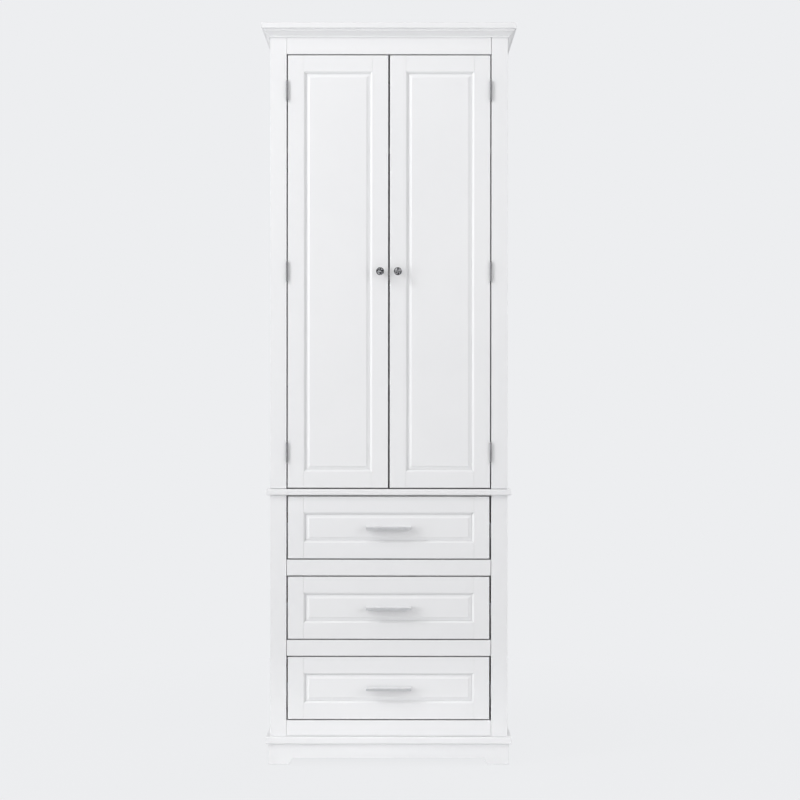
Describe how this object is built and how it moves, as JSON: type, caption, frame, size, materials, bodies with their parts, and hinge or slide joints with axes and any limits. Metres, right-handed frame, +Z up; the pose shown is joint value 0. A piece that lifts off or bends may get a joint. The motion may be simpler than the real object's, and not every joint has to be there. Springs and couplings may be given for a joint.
{
  "type": "tall bathroom cabinet",
  "caption": "Tall free-standing bathroom cabinet with panelled doors over inset drawers, mouldings and bracket feet.",
  "frame": {"origin": "on the floor, under the centre of the cabinet's bounding box", "axes": "+Z up, +Y towards the back, the doors and drawers face -Y"},
  "size_m": [0.61, 0.4, 1.78],
  "materials": {
    "white_paint": "satin white paint on board",
    "inside_white": "white faced board",
    "raw_wood": "plain sawn softwood",
    "satin_nickel": "satin nickel",
    "polished_nickel": "polished dark nickel",
    "zinc_steel": "zinc plated",
    "grey_plastic": "moulded grey"
  },
  "bodies": {
    "cabinet": {"plinth_front": "white_paint", "plinth_left": "white_paint", "plinth_right": "white_paint", "plinth_back": "raw_wood", "foot_blocks": "raw_wood", "floor_glides": "grey_plastic", "base_board": "white_paint", "lower_side_left": "white_paint", "lower_side_right": "white_paint", "lower_stiles": "white_paint", "lower_rails": "white_paint", "lower_back": "inside_white", "runner_packers": "raw_wood", "cabinet_runners": "zinc_steel", "mid_board": "white_paint", "upper_side_left": "white_paint", "upper_side_right": "white_paint", "upper_stiles": "white_paint", "frieze_rail": "white_paint", "crown_moulding": "white_paint", "top_board": "white_paint", "upper_back": "inside_white", "wall_rail": "inside_white", "fixed_shelf": "inside_white", "adjustable_shelves": "inside_white", "shelf_pins": "zinc_steel", "hinge_frame_leaves": "satin_nickel", "hinge_pins": "satin_nickel", "hinge_frame_screws": "satin_nickel", "magnet_catch": "grey_plastic"},
    "door_left": {"door_left_frame": "white_paint", "door_left_panel": "white_paint", "door_left_hinge_leaves": "satin_nickel", "door_left_knob": "polished_nickel", "door_left_strike": "zinc_steel", "door_left_screws": "satin_nickel"},
    "door_right": {"door_right_frame": "white_paint", "door_right_panel": "white_paint", "door_right_hinge_leaves": "satin_nickel", "door_right_knob": "polished_nickel", "door_right_strike": "zinc_steel", "door_right_screws": "satin_nickel"},
    "top_drawer": {"top_drawer_frame": "white_paint", "top_drawer_panel": "white_paint", "top_drawer_box": "inside_white", "top_drawer_bottom": "inside_white", "top_drawer_pull": "satin_nickel", "top_drawer_runners": "zinc_steel"},
    "middle_drawer": {"middle_drawer_frame": "white_paint", "middle_drawer_panel": "white_paint", "middle_drawer_box": "inside_white", "middle_drawer_bottom": "inside_white", "middle_drawer_pull": "satin_nickel", "middle_drawer_runners": "zinc_steel"},
    "low_drawer": {"low_drawer_frame": "white_paint", "low_drawer_panel": "white_paint", "low_drawer_box": "inside_white", "low_drawer_bottom": "inside_white", "low_drawer_pull": "satin_nickel", "low_drawer_runners": "zinc_steel"}
  },
  "joints": [
    {"name": "door_left_hinge", "type": "hinge", "parent": "cabinet", "child": "door_left", "pos_m": [-0.2445, -0.1785, 1.186], "axis": [0, 0, -1], "range_deg": [0, 170]},
    {"name": "door_right_hinge", "type": "hinge", "parent": "cabinet", "child": "door_right", "pos_m": [0.2445, -0.1785, 1.186], "axis": [0, 0, 1], "range_deg": [0, 170]},
    {"name": "top_drawer_slide", "type": "slide", "parent": "cabinet", "child": "top_drawer", "axis": [0, -1, 0], "range_m": [0, 0.24]},
    {"name": "middle_drawer_slide", "type": "slide", "parent": "cabinet", "child": "middle_drawer", "axis": [0, -1, 0], "range_m": [0, 0.24]},
    {"name": "low_drawer_slide", "type": "slide", "parent": "cabinet", "child": "low_drawer", "axis": [0, -1, 0], "range_m": [0, 0.24]}
  ]
}
